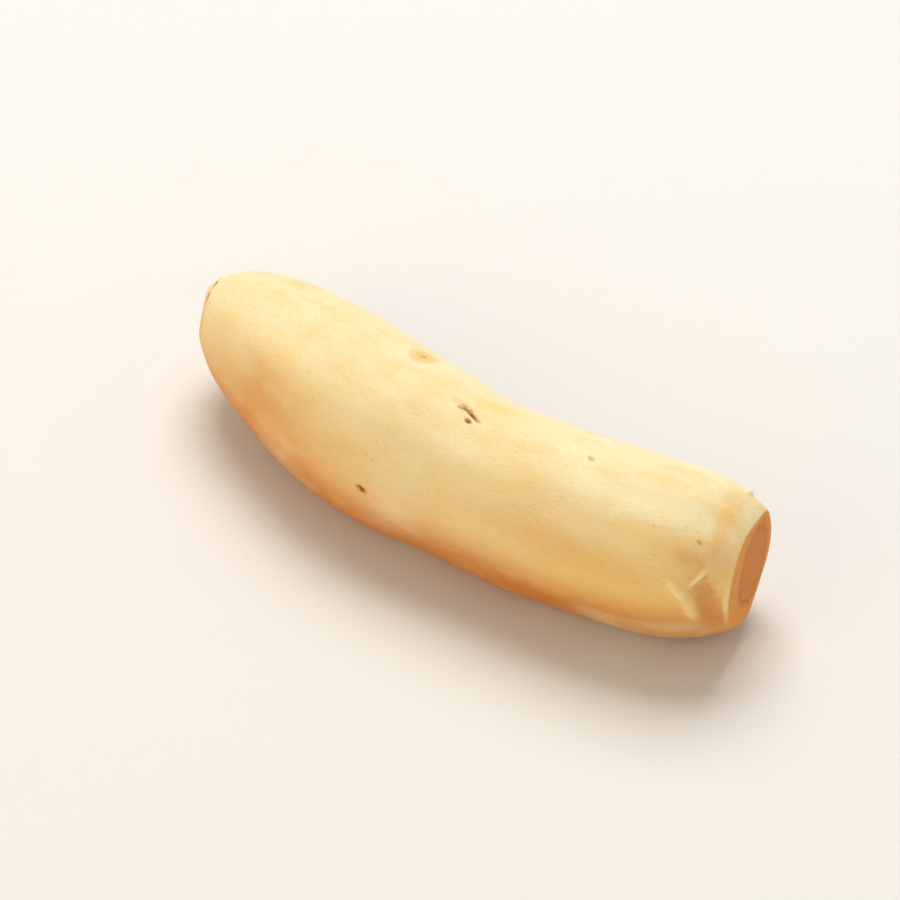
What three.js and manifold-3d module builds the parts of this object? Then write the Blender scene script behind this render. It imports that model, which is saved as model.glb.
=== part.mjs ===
// A peeled white turmeric root: one finger of the rhizome, whole, lying on its side.
// Millimetres, +Z up, the tip towards -X and the cut end towards +X. The origin is on the
// surface that the root rests on, under the middle of its bounding box.
import * as THREE from "three";
import { mergeVertices } from "three/addons/utils/BufferGeometryUtils.js";
import Module from "manifold-3d";

// Driving dimensions. X runs from the tip, before the finished root is moved to its origin.
const LENGTH = 102.9; // to the middle of the cut end
const CENTRE_HEIGHT = 12.9; // of the centre line, above the surface that the root rests on
const STATION_GAP = 15.5; // along X, between the stations that the next two lists give
const SIDEWAYS = [1.9, -2.1, -5.7, -8.8, -9.3, -7.4, -4.4, 0.8]; // the centre line's Y
const GIRTH = [10.8, 11.3, 13.5, 13.8, 12.8, 13.4, 13.6, 13.9]; // radius, before the ends close
const BODY_LENGTH = STATION_GAP * (GIRTH.length - 1);

// Both ends close as a quarter of an ellipse. The knife takes most of the far one off.
const TIP_NOSE = 21; // along X, over which the tip closes
const FAR_NOSE = 19.5;

// The section isn't a true circle: it is a little flat, and its fullest side turns along the root.
const FLATNESS = 0.03; // share of the radius
const FLAT_TURNS = 0.8; // over the body's length
const SWELL = 0.018; // share of the radius that a low swelling adds or takes
const SWELL_WAVES = 2.3; // over the body's length

// Knife strokes: a point on each stroke's plane, and the side that is taken off.
const BELLY_STROKE = { at: [0, 0, 0], away: [0, 0, -1] };
const END_STROKE = { at: [LENGTH, 0, 13], away: [0.955, 0.25, 0] };
const TIP_STROKE = { at: [0.4, 0, 13], away: [-0.86, -0.5, 0.1] };
const SHOULDER_STROKE = { at: [99.8, 6, 21.3], away: [0.45, 0.52, 0.72] };

const FACES_ROUND = 52;
const FACES_ALONG = 66;
const FLESH = { color: 0xf0d79c, roughness: 0.5, metalness: 0 };

const wasm = await Module();
wasm.setup();

/** The centre line, as a curve whose parameter runs evenly along X. */
function makeCentreLine() {
  const points = SIDEWAYS.map(
    (y, i) => new THREE.Vector3(i * STATION_GAP, y, CENTRE_HEIGHT),
  );
  return new THREE.CatmullRomCurve3(points, false, "catmullrom", 0.5);
}

/** The girth as a curve of (X, radius), with the centre line's parameter. */
function makeGirth() {
  return new THREE.SplineCurve(
    GIRTH.map((r, i) => new THREE.Vector2(i * STATION_GAP, r)),
  );
}

/** How far an end has opened at a distance from it: 0 at the end, 1 past the nose. */
function opened(distance, nose) {
  const left = 1 - Math.min(distance / nose, 1);
  return Math.sqrt(1 - left * left);
}

/** The section's radius over the girth, at a share of the body's length and an angle round it. */
function sectionShape(share, angle) {
  const flat = Math.cos(2 * angle - 2 * Math.PI * FLAT_TURNS * share);
  const swell = Math.sin(angle + 2 * Math.PI * SWELL_WAVES * share);
  return 1 + FLATNESS * flat + SWELL * swell;
}

/** The whole body, closed at both ends: a unit sphere drawn out along the centre line. */
function makeBody() {
  const centreLine = makeCentreLine();
  const girth = makeGirth();
  const up = new THREE.Vector3(0, 0, 1);
  const geometry = new THREE.SphereGeometry(1, FACES_ROUND, FACES_ALONG);
  const place = geometry.getAttribute("position");
  for (let i = 0; i < place.count; i++) {
    const unit = new THREE.Vector3().fromBufferAttribute(place, i);
    const share = (1 - unit.y) / 2; // the sphere's upper pole becomes the tip
    const angle = Math.atan2(unit.z, unit.x);
    const x = share * BODY_LENGTH;
    const ends = opened(x, TIP_NOSE) * opened(BODY_LENGTH - x, FAR_NOSE);
    const radius = girth.getPoint(share).y * ends * sectionShape(share, angle);
    const side = new THREE.Vector3()
      .crossVectors(up, centreLine.getTangent(share))
      .normalize();
    const point = centreLine
      .getPoint(share)
      .addScaledVector(side, radius * Math.cos(angle))
      .addScaledVector(up, radius * Math.sin(angle));
    place.setXYZ(i, point.x, point.y, point.z);
  }
  return geometry;
}

/** A closed geometry as a solid that can be cut. */
function solidOf(geometry) {
  const bare = geometry.clone();
  bare.deleteAttribute("normal");
  bare.deleteAttribute("uv");
  const merged = mergeVertices(bare);
  return new wasm.Manifold(
    new wasm.Mesh({
      numProp: 3,
      vertProperties: merged.getAttribute("position").array,
      triVerts: new Uint32Array(merged.index.array),
    }),
  );
}

/** The solid, less everything on the far side of a stroke's plane. */
function pared(solid, stroke) {
  const reach = 2 * BODY_LENGTH;
  const away = new THREE.Vector3(...stroke.away).normalize();
  const turn = new THREE.Quaternion().setFromUnitVectors(
    new THREE.Vector3(0, 0, 1),
    away,
  );
  const blade = new THREE.BoxGeometry(reach, reach, reach)
    .translate(0, 0, reach / 2)
    .applyQuaternion(turn)
    .translate(...stroke.at);
  return solid.subtract(solidOf(blade));
}

/** A solid as a geometry that stands on z = 0, under the middle of its own box. */
function settled(solid) {
  const mesh = solid.getMesh();
  const geometry = new THREE.BufferGeometry();
  const places = new Float32Array(mesh.vertProperties);
  geometry.setAttribute("position", new THREE.BufferAttribute(places, 3));
  geometry.setIndex(new THREE.BufferAttribute(mesh.triVerts, 1));
  geometry.computeBoundingBox();
  const middle = geometry.boundingBox.getCenter(new THREE.Vector3());
  geometry.translate(-middle.x, -middle.y, -geometry.boundingBox.min.z);
  geometry.computeVertexNormals();
  return geometry;
}

const strokes = [BELLY_STROKE, END_STROKE, TIP_STROKE, SHOULDER_STROKE];
const root = new THREE.Mesh(
  settled(strokes.reduce(pared, solidOf(makeBody()))),
  new THREE.MeshStandardMaterial(FLESH),
);
root.name = "turmeric_root";

const group = new THREE.Group();
group.add(root);
export default group;
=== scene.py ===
import bpy
import math
import numpy as np
from mathutils import Matrix, Vector


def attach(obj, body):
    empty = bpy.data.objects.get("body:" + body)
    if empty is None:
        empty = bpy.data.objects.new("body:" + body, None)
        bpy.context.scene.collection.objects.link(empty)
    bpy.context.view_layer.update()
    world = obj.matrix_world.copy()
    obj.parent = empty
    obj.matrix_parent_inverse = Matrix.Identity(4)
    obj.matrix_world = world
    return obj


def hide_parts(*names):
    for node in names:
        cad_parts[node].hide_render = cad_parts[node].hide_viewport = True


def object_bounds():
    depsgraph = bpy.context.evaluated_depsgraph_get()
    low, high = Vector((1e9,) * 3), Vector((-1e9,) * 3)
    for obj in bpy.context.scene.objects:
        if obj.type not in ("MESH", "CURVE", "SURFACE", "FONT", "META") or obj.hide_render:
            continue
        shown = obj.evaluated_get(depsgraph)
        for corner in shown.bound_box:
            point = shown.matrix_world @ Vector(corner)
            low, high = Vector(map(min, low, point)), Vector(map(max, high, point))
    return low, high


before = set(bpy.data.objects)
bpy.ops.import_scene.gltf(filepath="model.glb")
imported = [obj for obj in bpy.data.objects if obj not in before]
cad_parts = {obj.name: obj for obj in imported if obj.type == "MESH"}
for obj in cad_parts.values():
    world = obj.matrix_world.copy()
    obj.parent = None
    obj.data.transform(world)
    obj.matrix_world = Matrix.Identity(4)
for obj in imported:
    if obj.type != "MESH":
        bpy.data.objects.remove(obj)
cad_box = [list(corner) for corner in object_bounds()]


# ------------------------------------------------------------------------------------------
# The camera. A long lens on the outside of the root's bend looks down on it at 40 degrees,
# with the tip to the left and far, and the cut end to the right and near.
# ------------------------------------------------------------------------------------------
VIEW_ROUND = math.radians(37)  # from looking along +Y, towards looking along -X
VIEW_DOWN = math.radians(40)
LENS = 180  # mm, on a sensor 36 mm wide
FRAME_WIDTH = 1.27  # of the root's length

low, high = (Vector(corner) for corner in cad_box)
root_middle = (low + high) / 2
root_length = high.x - low.x

camera = bpy.data.objects.new("camera", bpy.data.cameras.new("camera"))
bpy.context.scene.collection.objects.link(camera)
camera.data.lens = LENS
camera.data.sensor_width = 36
camera.data.clip_start = 0.01
towards_camera = Vector((
    math.sin(VIEW_ROUND) * math.cos(VIEW_DOWN),
    -math.cos(VIEW_ROUND) * math.cos(VIEW_DOWN),
    math.sin(VIEW_DOWN),
))
camera_distance = FRAME_WIDTH * root_length * LENS / camera.data.sensor_width
camera.location = root_middle + towards_camera * camera_distance
camera.rotation_euler = towards_camera.to_track_quat("Z", "Y").to_euler()
bpy.context.scene.camera = camera


# ------------------------------------------------------------------------------------------
# The root's body: one finger of the rhizome, which grew as one piece. It is a bent taper of
# dense flesh, nearly round, with a blunt tip. The knife took off its skin in long strokes,
# trimmed both its ends, and cut it across from the mother root. It rests on a narrow flat.
# ------------------------------------------------------------------------------------------
MM = 0.001  # the root's sizes are in millimetres, and its mesh is in metres
CUT_AT = 102.9  # from the tip to the middle of the cut end
CENTRE_HEIGHT = 12.9  # of the centre line over the floor
STATION_GAP = 15.5  # between the stations at which the bend and the radius are given
SIDEWAYS = np.array([1.9, -2.1, -5.7, -8.8, -9.3, -7.4, -4.4, 0.8])
GIRTH = np.array([10.8, 11.3, 13.5, 13.8, 12.8, 13.4, 13.6, 13.9])
BODY_LENGTH = STATION_GAP * (len(GIRTH) - 1)  # before the cut
TIP_NOSE = 21  # how far from each end the body reaches its full radius
FAR_NOSE = 19.5
FLATNESS, FLAT_TURNS = 0.03, 0.8  # share of the radius, and turns from end to end
SWELL, SWELL_TURNS = 0.018, 2.3
LUMP, LUMP_GRAIN = 0.3, 8.0  # height and size of the slow hills that growth left
DIMPLE, DIMPLE_GRAIN = 0.07, 2.6  # and of the small ones that the knife left

# Each knife stroke that took a flat off: a point on it, the side taken, and how far, in mm,
# its edge is worn round.
END_STROKE = ((CUT_AT, 0, 13), (0.955, 0.25, 0), 0.16)
TIP_STROKE = ((0.4, 0, 13), (-0.86, -0.5, 0.1), 0.22)
BELLY_STROKE = ((0, 0, 0), (0, 0, -1), 0.3)  # the flat that it rests on
TRIM_EDGE = 0.32
END_TRIMS = [  # short strokes round the cut end: degrees round, lean towards the end, mm taken
    (58, 50, 0.5),
    (104, 52, 0.4),
    (150, 50, 0.25),
    (196, 44, 0.2),
    (262, 52, 0.25),
    (318, 46, 0.35),
]
TIP_TRIMS = [(205, -44, 0.25), (320, -48, 0.3)]

PEELS_ALONG = 4  # sets of peeling strokes from the tip to the cut end
PEELS_ROUND = 10  # strokes in a set
PEEL_SPAN = (0.14, 0.9)  # shares of the length, at the first set and at the last
PEEL_STRAY, PEEL_STRAY_ROUND = 0.08, 0.035  # in shares of the length, and in turns
PEEL_TWIST = 0.9  # radians from one set to the next
PEEL_DEPTH = (0.06, 0.26)  # least and most
PEEL_HALF_LENGTH = (13, 26)
PEEL_EDGE = 0.24  # over which two strokes meet

RINGS = 380  # in the mesh, from the tip to the middle of the cut end
COLUMNS = 252  # round each ring


def through(values, share):
    """The smooth curve through evenly spaced values, read at shares of the way from the
    first to the last: a Catmull-Rom spline whose ends carry straight on."""
    run_in = 2 * values[0] - values[1]
    run_out = 2 * values[-1] - values[-2]
    known = np.concatenate([[run_in], values, [run_out]])
    place = np.clip(share, 0, 1) * (len(values) - 1)
    i = np.minimum(place.astype(int), len(values) - 2)
    t = place - i
    a, b, c, d = known[i], known[i + 1], known[i + 2], known[i + 3]
    return b + 0.5 * t * (c - a + t * (2 * a - 5 * b + 4 * c - d + t * (3 * (b - c) + d - a)))


def opened(distance, nose):
    """How far an end has opened: a quarter of an ellipse, 0 at the end and 1 past its nose."""
    return np.sqrt(1 - (1 - np.clip(distance / nose, 0, 1)) ** 2)


def fullness(along):
    """How full the body is at distances along it: how far its two ends have opened,
    multiplied."""
    return opened(along, TIP_NOSE) * opened(BODY_LENGTH - along, FAR_NOSE)


def drift(place, grain, seed):
    """Soft hills from about -1 to 1: random heights at the corners of cubes whose side is
    the grain, blended smoothly across each cube."""
    heights = np.random.default_rng(seed).uniform(-1.3, 1.3, 4096)
    cell = np.floor(place / grain).astype(int)
    t = place / grain - cell
    t = t * t * (3 - 2 * t)
    hills = 0
    for corner in np.ndindex(2, 2, 2):
        picked = ((cell + corner) @ (73, 1179, 2283)) % len(heights)
        share = np.prod(np.where(corner, t, 1 - t), axis=-1)
        hills = hills + share * heights[picked]
    return hills


def peel_strokes():
    """Where each peeling stroke lay: sets of strokes along the body, evenly round it, each
    moved, turned and deepened a little by a seeded chance."""
    chance = np.random.default_rng(7)
    along, turn = np.meshgrid(
        np.linspace(*PEEL_SPAN, PEELS_ALONG), np.arange(PEELS_ROUND) / PEELS_ROUND, indexing="ij"
    )
    shape = along.shape
    along = (along + chance.uniform(-PEEL_STRAY, PEEL_STRAY, shape)) * BODY_LENGTH
    turn = (turn + chance.uniform(-PEEL_STRAY_ROUND, PEEL_STRAY_ROUND, shape)) * 2 * np.pi
    turn += np.arange(PEELS_ALONG)[:, None] * PEEL_TWIST
    depth = chance.uniform(*PEEL_DEPTH, shape)
    half_length = chance.uniform(*PEEL_HALF_LENGTH, shape)
    return np.stack([along, turn, depth, half_length], axis=-1).reshape(-1, 4)


def round_radius(along, turn):
    """The radius before peeling: the girth, closed at both ends, times a section that is a
    little flat and swells a little, both turning as they go along."""
    share = along / BODY_LENGTH
    flat = np.cos(2 * turn - 2 * np.pi * FLAT_TURNS * share)
    swell = np.sin(turn + 2 * np.pi * SWELL_TURNS * share)
    return through(GIRTH, share) * fullness(along) * (1 + FLATNESS * flat + SWELL * swell)


def peeled_radius(along, turn):
    """The radius after peeling: the softened least of the round radius and each stroke's
    flat, whose distance from the centre line is its depth less than the round radius in the
    stroke's middle, and more than it past the stroke's ends. Depths and edges shrink with
    the body towards its two ends."""
    bare = round_radius(along, turn)
    edge = PEEL_EDGE * fullness(along)
    least = np.ones_like(bare)
    for at, to, depth, half_length in peel_strokes():
        past = (along - at) / half_length
        taken = depth * fullness(along) * (1 - past**2)
        flat = round_radius(along, np.full_like(turn, to)) - taken
        facing = np.maximum(np.cos(turn - to), 0.5)
        least += np.exp(-np.clip((flat / facing - bare) / edge, -40, 40))
    return bare - edge * np.log(least)


def centre_line(along):
    """The centre line's point at distances along X, and its level sideways direction, which
    is square to the line's slope there."""
    share = along / BODY_LENGTH
    step = 0.01 / BODY_LENGTH
    slope = (through(SIDEWAYS, share + step) - through(SIDEWAYS, share - step)) / 0.02
    level = np.full_like(along, CENTRE_HEIGHT)
    point = np.stack([along, through(SIDEWAYS, share), level], axis=-1)
    side = np.stack([-slope, np.ones_like(slope), np.zeros_like(slope)], axis=-1)
    return point, side / np.linalg.norm(side, axis=-1, keepdims=True)


def unit(direction):
    """A direction over its own length."""
    return np.array(direction) / np.linalg.norm(direction)


def past_stroke(place, stroke):
    """How far a place lies on the taken side of a stroke, in mm: its offset from the
    stroke's point, measured along the stroke's direction."""
    at, away, _ = stroke
    return (place - np.array(at)) @ unit(away)


def pared(place, stroke):
    """What lies past a stroke is pushed straight back onto its plane, and its edge is eased
    by the soft plus of the distance past it: the logarithm of one plus its exponential."""
    _, away, ease = stroke
    past = past_stroke(place, stroke)
    return place - ease * np.logaddexp(0, past / ease)[..., None] * unit(away)


def rough_surface(along, turn):
    """The peeled root before its ends are trimmed, at distances along it and angles round it:
    a point on the centre line plus the radius in the turned direction, with slow and small
    hills. Also the same place with the bend straightened out, for patterns that follow it."""
    point, side = centre_line(along)
    up = np.array([0.0, 0.0, 1.0])
    outward = np.cos(turn)[..., None] * side + np.sin(turn)[..., None] * up
    radius = peeled_radius(along, turn)
    straight = np.stack([along, radius * np.cos(turn), radius * np.sin(turn)], axis=-1)
    hills = LUMP * drift(straight * (0.6, 1, 1), LUMP_GRAIN, 1)
    hills += DIMPLE * drift(straight * (0.45, 1, 1), DIMPLE_GRAIN, 2)
    return point + outward * (radius + hills * fullness(along))[..., None], straight


def trimming_stroke(degrees, lean, taken):
    """A stroke that faces round the root by some degrees and leans towards the cut end by
    others. Its plane lies as deep as the stroke takes, below the furthest rough place that way."""
    turned, leaning = math.radians(degrees), math.radians(lean)
    sideways, upward = math.cos(turned) * math.cos(leaning), math.sin(turned) * math.cos(leaning)
    away = np.array([math.sin(leaning), sideways, upward])
    reach = (rough_sample @ away).max() - taken
    return tuple(reach * away), tuple(away), TRIM_EDGE


rough_sample, _ = rough_surface(*np.meshgrid(
    np.linspace(0.5, CUT_AT, 240), np.linspace(0, 2 * np.pi, 120), indexing="ij"
))
STROKES = [trimming_stroke(*trim) for trim in TIP_TRIMS + END_TRIMS]
STROKES += [BELLY_STROKE, TIP_STROKE, END_STROKE]


def body_surface(along, turn):
    """The finished surface: the rough one, pared by every stroke in turn."""
    place, straight = rough_surface(along, turn)
    for stroke in STROKES:
        place = pared(place, stroke)
    return place, straight


def spread(density, count):
    """So many places between 0 and 1, packed in proportion to a density that is sampled
    evenly between them: even steps of the density's running total."""
    total = np.concatenate([[0], np.cumsum(density[1:] + density[:-1])])
    even = np.linspace(0, 1, len(density))
    return np.interp(np.linspace(0, total[-1], count), total, even)


def hump(value, middle, width):
    """A bell curve, 1 at its middle: e to the minus square of the offset over the width."""
    return np.exp(-(((value - middle) / width) ** 2))


# Rings stand at even steps along the profile, closer at the cut end and by the scars, and
# columns stand closer on the upper outer side than on the belly.
sample = np.linspace(0, 1, 8001)
profile_x = BODY_LENGTH * (1 - np.cos(np.pi * sample)) / 2
profile_r = round_radius(profile_x, np.full_like(profile_x, 2.0))
step = np.hypot(np.gradient(profile_x), np.gradient(profile_r))
care = 1 + 0.9 * hump(profile_x, CUT_AT - 3, 6) + 0.4 * hump(profile_x, 57, 6)
ring_x = np.interp(spread(step * care, RINGS + 2)[1:-1], sample, profile_x)
turns = np.linspace(0, 2 * np.pi, 2001)
column_turn = 2 * np.pi * spread(1 + 0.4 * np.cos(turns - math.radians(120)), COLUMNS + 1)[:-1]
along, turn = np.meshgrid(ring_x, column_turn, indexing="ij")
place, straight = body_surface(along, turn)


def outward_normals(place):
    """Each grid point's normal: the cross product of the steps to its neighbours along the
    root and round it. Near the two poles the steps are short but never nothing."""
    ahead = np.gradient(place, axis=0)
    around = np.roll(place, -1, axis=1) - np.roll(place, 1, axis=1)
    normal = np.cross(around, ahead)
    return normal / np.maximum(np.linalg.norm(normal, axis=-1, keepdims=True), 1e-9)


# ------------------------------------------------------------------------------------------
# The root's marks: scars of side buds, a cleft, pits where rootlets sat, and the nicks, curl
# and burr that the knife raised. Each runs from one place to another on the surface, given
# as mm along the root and degrees round it, from level on the far side up over the top.
# ------------------------------------------------------------------------------------------
MARKS = {  # one with no rise is only a colour: a stain where the flesh dried darker or stayed paler, or, by the end, a painted highlight
    # name: (from, to, half width, rise, stain or painted highlight or painted shade, its strength)
    "cleft": ((57.7, 90.2), (60.6, 95.2), 0.28, -0.45, (142, 68, 14), 1.0),
    "cleft_frays": ((56.9, 91.8), (58.7, 90.0), 0.22, -0.3, (146, 80, 28), 0.8),
    "cleft_lead": ((55.3, 88), (57.7, 90), 0.5, -0.08, (232, 172, 92), 0.4),
    "cleft_pit": ((59.3, 98.4), (59.7, 98.9), 0.36, -0.3, (156, 88, 30), 0.95),
    "rootlet_pit": ((48.7, 175), (49.4, 175.8), 0.46, -0.3, (150, 84, 30), 1.0),
    "faint_pit": ((79.1, 95), (79.5, 95.6), 0.4, -0.12, (206, 176, 100), 0.8),
    "end_pit": ((97.5, 128), (97.8, 128.6), 0.24, -0.12, (196, 132, 62), 0.6),
    "end_tan": ((96.0, 139), (97.6, 141), 1.0, 0.0, (230, 166, 78), 0.3),
    "end_rind_top": ((100.0, 74), (100.2, 96), 1.4, 0.0, (244, 200, 116), 0.45),
    "end_rind_side": ((100.2, 102), (99.6, 132), 1.3, 0.0, (238, 192, 112), 0.45),
    # Painted highlight: a pale gleam painted on the upper side of the end.
    "end_painted_highlight": ((86, 108), (94, 108), 1.9, 0.0, (255, 243, 208), 0.55),
    # The scoop is a real shallow dish, and its brown stain is painted shade inside it.
    "scoop_painted_shade": ((99.2, 161), (100.4, 186), 1.8, -0.45, (208, 130, 56), 0.65),
    "nick": ((97.7, 156.8), (98.9, 148.0), 0.28, 0.6, (255, 234, 190), 1.0),
    "nick_tail": ((98.9, 148.0), (100.0, 143), 0.5, 0.14, (244, 208, 144), 0.6),
    "curl_top": ((95.4, 160), (96.9, 167.5), 0.7, 0.66, (255, 226, 164), 1.0),
    "curl_foot": ((96.9, 167.5), (98.0, 183), 0.9, 0.5, (252, 212, 144), 1.0),
    "burr": ((100.9, 57), (101.3, 54), 0.35, 0.6, (255, 236, 204), 0.9),
    "tip_crack": ((2.8, 98), (4.2, 120), 0.36, -0.42, (144, 78, 26), 0.95),
    "tip_crack_end": ((4.3, 122), (5.5, 138), 0.26, -0.32, (150, 84, 32), 0.85),
    "tip_flake": ((4.2, 118), (4.6, 124), 0.4, 0.3, (250, 224, 164), 0.8),
    "back_cleft": ((71, 350), (74.5, 346), 0.28, -0.45, (132, 66, 20), 0.9),
    "back_pit": ((33, 22), (33.6, 22.6), 0.4, -0.3, (150, 84, 32), 0.9),
    "low_pit": ((66, 292), (66.8, 292.6), 0.4, -0.3, (142, 78, 28), 0.9),
    "under_pit": ((24, 236), (24.6, 237), 0.36, -0.25, (150, 86, 34), 0.9),
    "back_flake": ((88, 8), (91.5, 2), 0.4, 0.35, (250, 222, 152), 0.8),
}
BUD_SCARS = {
    # name: (place, radius, stain, stain's strength)
    "ring_scar": ((44.5, 67.5), 2.1, (248, 186, 80), 0.85),
    "back_scar": ((57, 12), 1.9, (236, 182, 96), 0.5),
    "low_scar": ((21, 338), 1.5, (232, 176, 92), 0.45),
}
DISH_DEPTH, GROOVE_DEPTH, STRAND_DEPTH = 0.08, 0.05, 0.2  # of each bud's scar
GROOVE_WIDTH = STRAND_WIDTH = 0.35


def on_body(spot):
    """The surface place of a spot given as mm along and degrees round, and its outward
    normal: the cross product of a short step round and a short step along."""
    x, turned = spot[0], math.radians(spot[1])
    near, _ = body_surface(np.array([x, x + 0.1, x]), np.array([turned, turned, turned + 0.01]))
    normal = np.cross(near[2] - near[0], near[1] - near[0])
    return near[0], unit(normal)


def distance_from_line(place, start, end):
    """How far each place is from the straight line between two ends: the length of what is
    left after the nearest point of the line is taken away."""
    line = end - start
    share = np.clip((place - start) @ line / (line @ line), 0, 1)
    return np.linalg.norm(place - start - share[..., None] * line, axis=-1)


# A mark rises or sinks as a bell curve of the distance from its line. A bud's scar is a shallow
# dish with a groove round it and a pit where the bud's strand came through.
rise = np.zeros(place.shape[:2])
for start, end, width, height, _, _ in MARKS.values():
    gap = distance_from_line(place, on_body(start)[0], on_body(end)[0])
    rise += height * hump(gap, 0, width)
for spot, radius, _, _ in BUD_SCARS.values():
    gap = np.linalg.norm(place - on_body(spot)[0], axis=-1)
    rise -= DISH_DEPTH * hump(gap, 0, radius) + GROOVE_DEPTH * hump(gap, radius, GROOVE_WIDTH)
    rise -= STRAND_DEPTH * hump(gap, 0, STRAND_WIDTH)
relief = rise[..., None] * outward_normals(place)
on_cut = past_stroke(place, END_STROKE)
on_tip = past_stroke(place, TIP_STROKE)
place = place + relief


# ------------------------------------------------------------------------------------------
# The root's mesh: the grid of rings and columns, closed with a fan at the tip and another in
# the middle of the cut end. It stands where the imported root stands, and replaces it.
# ------------------------------------------------------------------------------------------
own_low, own_high = place.min((0, 1)), place.max((0, 1))
shift = np.array(root_middle) / MM - (own_low + own_high) / 2
shift[2] = 0  # both rest on the floor


def closed_mesh(name, place):
    """A grid that closes round its columns, with a point at each end: quads between the
    rings, and a fan of triangles from the middle of the first and of the last ring. Its map
    is the same grid laid flat: across goes round the columns, and up goes along the rings."""
    rings, columns = place.shape[:2]
    ends = np.stack([place[0].mean(0), place[-1].mean(0)])
    points = np.concatenate([place.reshape(-1, 3), ends])
    number = np.arange(rings * columns).reshape(rings, columns)
    beside = np.roll(number, -1, axis=1)
    quads = np.stack([number[:-1], beside[:-1], beside[1:], number[1:]], -1).reshape(-1, 4)
    first_end = np.full(columns, rings * columns)
    last_end = first_end + 1
    fans = np.concatenate([
        np.stack([first_end, beside[0], number[0]], -1),
        np.stack([last_end, number[-1], beside[-1]], -1),
    ])
    mesh = bpy.data.meshes.new(name)
    mesh.from_pydata(points.tolist(), [], quads.tolist() + fans.tolist())
    mesh.shade_smooth()

    # Each face's corners on the map, in the order in which they were listed above.
    ring, column = np.mgrid[1:rings, 0:columns]
    corners = np.array([(0, 0), (0, 1), (1, 1), (1, 0)])  # rings up, and columns across
    quad_up = (ring[..., None] + corners[:, 0]) / (rings + 1)
    quad_across = (column[..., None] + corners[:, 1]) / columns
    fan_across = (np.arange(columns)[:, None] + (0.5, 1, 0)) / columns
    last_fan_across = (np.arange(columns)[:, None] + (0.5, 0, 1)) / columns
    fan_up = np.broadcast_to(np.array([0, 1, 1]) / (rings + 1), fan_across.shape)
    laid_flat = [(quad_across, quad_up), (fan_across, fan_up), (last_fan_across, 1 - fan_up)]
    spots = np.concatenate([np.stack(pair, -1).reshape(-1, 2) for pair in laid_flat])
    mesh.uv_layers.new(name="OFBake").uv.foreach_set("vector", spots.astype(np.float32).ravel())
    return mesh


root_mesh = closed_mesh("peeled_root", (place + shift) * MM)
root = bpy.data.objects.new("peeled_root", root_mesh)
bpy.context.scene.collection.objects.link(root)


def keep_on_mesh(mesh, name, kind, values):
    """Stores a value for each grid point, and the mean of the end rings for the two ends."""
    values = values.reshape(*along.shape, -1)
    ends = np.stack([values[0].mean(0), values[-1].mean(0)])
    flat = np.concatenate([values.reshape(-1, values.shape[-1]), ends])
    socket = {"FLOAT": "value", "FLOAT_VECTOR": "vector", "FLOAT_COLOR": "color"}[kind]
    attribute = mesh.attributes.new(name, kind, "POINT")
    attribute.data.foreach_set(socket, flat.astype(np.float32).ravel())


def patch(at, degrees, half_length, half_degrees):
    """A soft patch on the surface: a bell curve along the root times one round it."""
    apart = (np.degrees(turn) - degrees + 180) % 360 - 180
    return hump(along, at, half_length) * hump(apart, 0, half_degrees)


def all_patches(patches):
    """The sum of several soft patches."""
    return sum(patch(*each) for each in patches)


def between(value, low, high):
    """A smooth step from 0 below low to 1 above high: three times the square of the share
    of the way, less twice its cube."""
    t = np.clip((value - low) / (high - low), 0, 1)
    return t * t * (3 - 2 * t)


# Soft patches of tone: yellower flesh, tanner flesh where it has dried, and paler patches, most
# of them painted highlights where the light falls brightest.
YELLOW_PATCHES = [
    # (mm along, degrees round, half length, half degrees)
    (101, 105, 3.5, 45),
    (61, 77, 5, 16),
    (68, 113, 4, 12),
    (79, 95, 4, 10),
    (30, 330, 9, 40),
    (75, 250, 12, 40),
]
TAN_PATCHES = [
    (45, 71, 3, 12),
    (97, 139, 3, 13),
    (31, 160, 14, 24),
    (26, 196, 16, 28),
    (84, 222, 14, 24),
    (101, 100, 3.5, 48),
    (14, 30, 8, 40),
]
# Pale patches: most are painted highlights on the upper side and by the cut end, and the few on
# the back are paler flesh.
PALE_AND_HIGHLIGHT_PATCHES = [
    (60, 119, 4, 9),
    (90, 110, 11, 16),
    (88, 78, 14, 20),
    (90, 76, 12, 30),
    (97, 112, 4, 14),
    (24, 95, 18, 24),
    (39, 92, 8, 16),
    (42, 20, 14, 26),
    (90, 330, 12, 34),
]

# Each tone is a cloud drawn out along the root, and its patches. The top is painted paler, a
# painted highlight; the underside is painted tan and then brown, painted shade; and a pale
# streak along the near side of the cut is a painted highlight.
flow = straight * (0.55, 1, 1)
painted_highlight_top = between(np.sin(turn), 0.3, 0.95)
# Painted shade: the lower side is painted tan, and the underside (under) brown, darker where shade
# falls.
lower_side_painted_shade = between(-np.sin(turn), -0.55, 0.7)
under = between(-np.sin(turn), -0.15, 0.6)
# Painted highlight: a pale streak along the near edge of the cut end.
rim_painted_highlight = hump(on_cut, -0.45, 0.3) * hump(np.degrees(turn), 178, 32)
yellow = 0.55 * between(drift(flow, 9, 11), -0.1, 0.9) * (1 - 0.6 * painted_highlight_top)
yellow += 0.7 * all_patches(YELLOW_PATCHES)
tan_and_painted_shade = 0.5 * between(drift(flow, 7, 12), 0.0, 1.0) * (1 - 0.8 * painted_highlight_top)
tan_and_painted_shade += 0.42 * all_patches(TAN_PATCHES) + 0.9 * lower_side_painted_shade
pale_and_highlight = 0.35 * between(drift(flow, 6, 13), 0.1, 1.0) + 0.6 * rim_painted_highlight + 0.6 * painted_highlight_top
pale_and_highlight += 0.7 * all_patches(PALE_AND_HIGHLIGHT_PATCHES)
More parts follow.
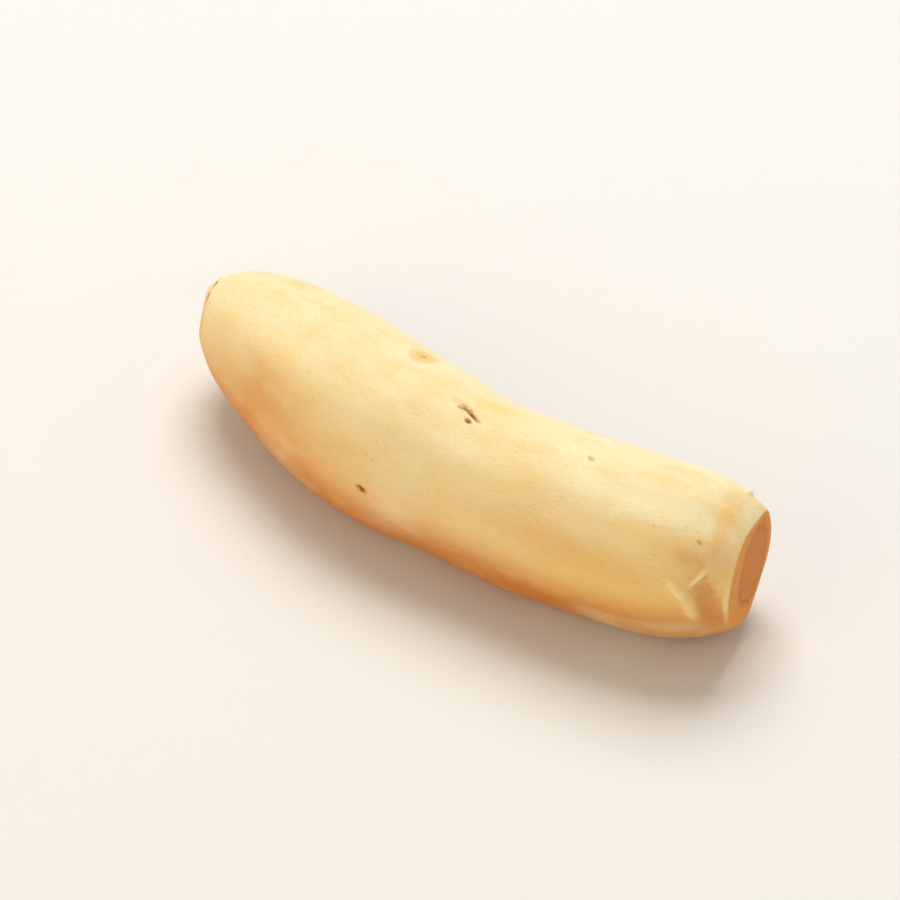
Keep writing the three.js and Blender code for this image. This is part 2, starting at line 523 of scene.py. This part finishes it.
# The tones carry painted light too: the pale one holds the painted highlights, and the fourth the
# painted shade of the underside.
tones_and_painted_light = np.stack([yellow, tan_and_painted_shade, pale_and_highlight, under], axis=-1)
keep_on_mesh(root_mesh, "tones_and_painted_light", "FLOAT_COLOR", np.clip(tones_and_painted_light, 0, 1))
keep_on_mesh(root_mesh, "straight", "FLOAT_VECTOR", straight * MM)
keep_on_mesh(root_mesh, "on_cut", "FLOAT", between(on_cut, -0.13, -0.03))
keep_on_mesh(root_mesh, "on_tip", "FLOAT", between(on_tip, -1.1, -0.05))


# ------------------------------------------------------------------------------------------
# The flesh: cream to pale yellow, with tan patches, faint fibres along the root and a moist
# satin surface that light goes a little way into. The cut end shows its rings and bundles.
# ------------------------------------------------------------------------------------------
def paint(red, green, blue):
    """A colour as on a paint card, 0 to 255, turned into the light it reflects: its share of
    255 plus 0.055, over 1.055, to the power 2.4, or a straight line where it is near black."""
    share = np.array([red, green, blue]) / 255
    return (*np.where(share <= 0.04045, share / 12.92, ((share + 0.055) / 1.055) ** 2.4), 1)


CREAM = paint(248, 221, 160)
YELLOW = paint(248, 209, 112)
TAN_AND_PAINTED_SHADE = paint(228, 148, 56)
PAINTED_SHADE_BROWN = paint(204, 118, 42)
PALE_AND_HIGHLIGHT = paint(253, 235, 190)
FIBRE = paint(222, 168, 96)
SPECK = paint(170, 116, 58)
# Painted shade: the cut face's flesh and rind are painted a darker orange than the flesh is, for
# the shade on the face.
CUT_FLESH_PAINTED_SHADE = paint(214, 127, 34)
CUT_PALE_PAINTED_SHADE = paint(228, 150, 57)
CUT_RING = paint(190, 106, 32)
TIP_DRY = paint(222, 172, 104)
SCAR_LINE = paint(206, 140, 62)
SCAR_PIT = paint(156, 90, 34)

flesh = bpy.data.materials.new("peeled_flesh")
flesh.use_nodes = True
tree = flesh.node_tree
tree.nodes.clear()


def node(kind, inputs=(), **settings):
    """Adds a node to the flesh. Each input is a value, or another node's socket to read."""
    made = tree.nodes.new("ShaderNode" + kind)
    for name, value in settings.items():
        setattr(made, name, value)
    for socket, value in dict(inputs).items():
        if isinstance(value, bpy.types.NodeSocket):
            tree.links.new(value, made.inputs[socket])
        else:
            made.inputs[socket].default_value = value
    return made


def blended(share, under, over):
    """One colour laid over another by a share."""
    return node("Mix", {0: share, 6: under, 7: over}, data_type="RGBA").outputs[2]


def stepped(value, low, high, to_low=0.0, to_high=1.0):
    """A smooth step of a value from low to high, given as to_low to to_high."""
    inputs = {0: value, 1: low, 2: high, 3: to_low, 4: to_high}
    return node("MapRange", inputs, interpolation_type="SMOOTHSTEP").outputs[0]


def noise(where, scale, detail, stretch=(1, 1, 1)):
    """Cloudy noise, with its cells per metre, drawn out by the stretch."""
    drawn = node("Mapping", {"Vector": where, "Scale": stretch}).outputs[0]
    inputs = {"Vector": drawn, "Scale": scale, "Detail": detail, "Roughness": 0.55}
    return node("TexNoise", inputs).outputs[0]


def times(a, b):
    """The product of two values."""
    return node("Math", {0: a, 1: b}, operation="MULTIPLY").outputs[0]


where = node("TexCoord").outputs["Object"]
run = node("Attribute", attribute_name="straight").outputs["Vector"]
tones_and_light_here = node("Attribute", attribute_name="tones_and_painted_light").outputs
tone = node("SeparateColor", {0: tones_and_light_here["Color"]}).outputs
cut = node("Attribute", attribute_name="on_cut").outputs["Fac"]
dry_tip = node("Attribute", attribute_name="on_tip").outputs["Fac"]

# Three noises run along the root: broad mottling, long fibres and a fine grain.
mottle = noise(run, 260, 5, (0.5, 1, 1))
fibres = noise(run, 1500, 3, (0.06, 1, 1))
grain = noise(run, 2600, 4, (0.4, 1, 1))

# The tones are laid over each other and broken up by the mottling, then come the fibres.
colour = blended(tone[0], CREAM, YELLOW)
colour = blended(times(tone[1], stepped(mottle, 0.3, 0.65, 0.7, 1.0)), colour, TAN_AND_PAINTED_SHADE)
# Painted shade: the underside is painted brown.
colour = blended(times(tones_and_light_here["Alpha"], 0.8), colour, PAINTED_SHADE_BROWN)
# The pale tone is paler flesh and painted highlight: the top and the streak by the cut are painted
# lighter.
colour = blended(times(tone[2], stepped(mottle, 0.35, 0.6, 1.0, 0.6)), colour, PALE_AND_HIGHLIGHT)
colour = blended(stepped(fibres, 0.56, 0.8, 0.0, 0.12), colour, FIBRE)
colour = blended(stepped(mottle, 0.52, 0.7, 0.0, 0.25), colour, YELLOW)
colour = blended(stepped(grain, 0.5, 0.75, 0.0, 0.22), colour, FIBRE)

# A few brown specks and many faint pores, each in its own cell, and left out of most cells.
specks = node("TexVoronoi", {"Vector": run, "Scale": 150.0, "Randomness": 1.0}).outputs
few_cells = stepped(node("SeparateColor", {0: specks["Color"]}).outputs[0], 0.90, 0.93)
speck = times(few_cells, stepped(specks["Distance"], 0.03, 0.07, 1.0, 0.0))
colour = blended(times(speck, 0.5), colour, SPECK)
pores = node("TexVoronoi", {"Vector": run, "Scale": 620.0, "Randomness": 1.0}).outputs
some_cells = stepped(node("SeparateColor", {0: pores["Color"]}).outputs[1], 0.62, 0.7)
pore = times(some_cells, stepped(pores["Distance"], 0.05, 0.16, 1.0, 0.0))
colour = blended(times(pore, 0.2), colour, SPECK)

# Each mark's stain, painted highlight or painted shade is an ellipsoid about the mark, turned to
# lie along it and to stand on the surface, with an edge that the noise frays. A bud's scar is a
# disc with a darker line round it.
frayed = noise(where, 1100, 4)


def distance_in(middle, along_way, normal, half):
    """The distance from an ellipsoid's middle, as a share of the way to its surface. Its first
    half-size lies along one way, and its third as near to the normal as that allows."""
    along_way = Vector(along_way).normalized()
    across = Vector(normal).cross(along_way).normalized()
    turned = Matrix((along_way, across, along_way.cross(across))).transposed().to_euler()
    inputs = {"Vector": where, "Location": middle, "Rotation": turned, "Scale": half}
    local = node("Mapping", inputs, vector_type="TEXTURE").outputs[0]
    away = node("VectorMath", {0: local}, operation="LENGTH").outputs["Value"]
    return node("Math", {0: away, 1: frayed}, operation="ADD").outputs[0]


for start, end, width, height, stain_and_painted_light, strength in MARKS.values():
    (a, normal), (b, _) = on_body(start), on_body(end)
    half = np.array([np.linalg.norm(b - a) / 2 + width, width, width + 1.3 * abs(height)])
    reach = distance_in(((a + b) / 2 + shift) * MM, b - a, normal, half * MM)
    colour = blended(stepped(reach, 0.9, 2.1, strength, 0.0), colour, paint(*stain_and_painted_light))
for spot, radius, stain_and_painted_light, strength in BUD_SCARS.values():
    middle, normal = on_body(spot)
    sideways = np.cross(normal, (1, 0, 0))
    reach = distance_in((middle + shift) * MM, sideways, normal, [radius * MM] * 3)
    colour = blended(stepped(reach, 0.8, 1.8, strength, 0.0), colour, paint(*stain_and_painted_light))
    line = times(stepped(reach, 1.1, 1.5), stepped(reach, 1.5, 1.9, 1.0, 0.0))
    colour = blended(times(line, 0.2), colour, SCAR_LINE)
    pit = distance_in((middle + shift) * MM, sideways, normal, [0.4 * MM] * 3)
    colour = blended(stepped(pit, 0.7, 2.0, 0.8, 0.0), colour, SCAR_PIT)

# The cut end: a paler rind, a thin darker ring, and bundles that show as dots, under faint
# lines that the blade drew. The face's flesh and rind colours are darkened, as painted shade.
face_at = Vector((np.array(END_STROKE[0]) + shift) * MM)
face_away = Vector(END_STROKE[1]).normalized()
face_turn = face_away.to_track_quat("Z", "Y").to_euler()
inputs = {"Vector": where, "Location": face_at, "Rotation": face_turn}
on_face = node("Mapping", inputs, vector_type="TEXTURE").outputs[0]
flat_face = node("VectorMath", {0: on_face, 1: (1, 1, 0)}, operation="MULTIPLY").outputs[0]
radius = node("VectorMath", {0: flat_face}, operation="LENGTH").outputs["Value"]
uneven = noise(flat_face, 220, 2)
wobbly = node("Math", {0: uneven, 1: 3 * MM, 2: radius}, operation="MULTIPLY_ADD").outputs[0]
rind = stepped(wobbly, 7.2 * MM, 8.8 * MM)
ring_inside = stepped(wobbly, 6.6 * MM, 7.3 * MM)
ring_line = times(ring_inside, stepped(wobbly, 7.3 * MM, 8.0 * MM, 1.0, 0.0))
bundles = node("TexVoronoi", {"Vector": flat_face, "Scale": 900.0}).outputs
dots = stepped(bundles["Distance"], 0.08, 0.36, 0.45, 0.0)
dots = times(dots, node("SeparateColor", {0: bundles["Color"]}).outputs[0])
blade = noise(flat_face, 1500, 2, (1, 0.08, 1))
face_colour_with_painted_shade = blended(rind, CUT_FLESH_PAINTED_SHADE, CUT_PALE_PAINTED_SHADE)
face_colour_with_painted_shade = blended(times(ring_line, 0.42), face_colour_with_painted_shade, CUT_RING)
face_colour_with_painted_shade = blended(dots, face_colour_with_painted_shade, CUT_RING)
face_colour_with_painted_shade = blended(stepped(blade, 0.55, 0.7, 0.0, 0.3), face_colour_with_painted_shade, CUT_PALE_PAINTED_SHADE)
colour = blended(cut, colour, face_colour_with_painted_shade)
colour = blended(times(dry_tip, 0.5), colour, TIP_DRY)

# The fibres and the grain are felt as well as seen, and the cut end is duller.
heights = node("Math", {0: fibres, 1: 0.6, 2: grain}, operation="MULTIPLY_ADD").outputs[0]
bump = node("Bump", {"Height": heights, "Distance": 0.14 * MM, "Strength": 0.5}).outputs[0]
shine = stepped(mottle, 0.35, 0.7, 0.42, 0.56)
shine = node("Math", {0: cut, 1: 0.25, 2: shine}, operation="MULTIPLY_ADD").outputs[0]
surface = node("BsdfPrincipled", {
    "Base Color": colour,
    "Roughness": shine,
    "Normal": bump,
    "IOR": 1.4,
    "Specular IOR Level": 0.4,
    "Subsurface Weight": 0.38,
    "Subsurface Radius": (1.0, 0.6, 0.3),
    "Subsurface Scale": 1.2 * MM,
    "Coat Weight": 0.06,
    "Coat Roughness": 0.3,
})
node("OutputMaterial", {"Surface": surface.outputs[0]})
root_mesh.materials.append(flesh)

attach(root, "root")
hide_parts("turmeric_root")


# ------------------------------------------------------------------------------------------
# The studio: a pale floor that curves up into a wall all round, a big soft light above and
# behind the root, a weak one on the camera's side, and pale air.
# ------------------------------------------------------------------------------------------
FLOOR_FLAT = 1.1  # metres, where the floor starts to curve up
FLOOR_CURVE = 0.6
WALL_TOP = 1.6
FLOOR_SIDES = 96
FLOOR_COLOUR = (0.87, 0.865, 0.855, 1)

# The floor's profile, a level line, a quarter circle and an upright line, is spun all round.
bend = np.linspace(0, np.pi / 2, 24)
wall_at = FLOOR_FLAT + FLOOR_CURVE
out = np.concatenate([[0.001], FLOOR_FLAT + FLOOR_CURVE * np.sin(bend), [wall_at]])
lift = np.concatenate([[0], FLOOR_CURVE * (1 - np.cos(bend)), [WALL_TOP]])
compass = np.linspace(0, 2 * np.pi, FLOOR_SIDES, endpoint=False)
bowl = np.stack([
    out[:, None] * np.cos(compass),
    out[:, None] * np.sin(compass),
    lift[:, None] + 0 * compass,
], axis=-1)
number = np.arange(bowl.shape[0] * FLOOR_SIDES).reshape(-1, FLOOR_SIDES)
beside = np.roll(number, -1, axis=1)
sides = np.stack([number[:-1], number[1:], beside[1:], beside[:-1]], -1).reshape(-1, 4)
floor_mesh = bpy.data.meshes.new("floor")
floor_mesh.from_pydata(bowl.reshape(-1, 3).tolist(), [], sides.tolist() + [number[0].tolist()])
floor_mesh.shade_smooth()
floor = bpy.data.objects.new("floor", floor_mesh)
bpy.context.scene.collection.objects.link(floor)
paper = bpy.data.materials.new("pale_paper")
paper.use_nodes = True
matt = paper.node_tree.nodes["Principled BSDF"].inputs
matt["Base Color"].default_value = FLOOR_COLOUR
matt["Roughness"].default_value = 0.9
floor_mesh.materials.append(paper)


def soft_light(name, direction, distance, size, power, colour):
    """A square soft light that faces the root's middle from a direction, at a distance and
    of a size in metres, and of a power in watts."""
    lamp = bpy.data.lights.new(name, "AREA")
    lamp.shape = "SQUARE"
    lamp.size = size
    lamp.energy = power
    lamp.color = colour
    made = bpy.data.objects.new(name, lamp)
    direction = Vector(direction).normalized()
    made.location = root_middle + direction * distance
    made.rotation_euler = direction.to_track_quat("Z", "Y").to_euler()
    bpy.context.scene.collection.objects.link(made)


soft_light(
    "key_light", (-0.3, 0.45, 0.9), distance=1.5, size=1.0, power=17.8, colour=(1, 0.98, 0.94)
)
soft_light(
    "fill_light", (-0.1, -0.9, 0.5), distance=1.0, size=0.6, power=2.2, colour=(1, 0.78, 0.42)
)

world = bpy.data.worlds.new("pale_air")
world.use_nodes = True
air = world.node_tree.nodes["Background"].inputs
air["Color"].default_value = (1.0, 0.96, 0.9, 1)
air["Strength"].default_value = 0.28
bpy.context.scene.world = world
bpy.context.scene.view_settings.view_transform = "Standard"
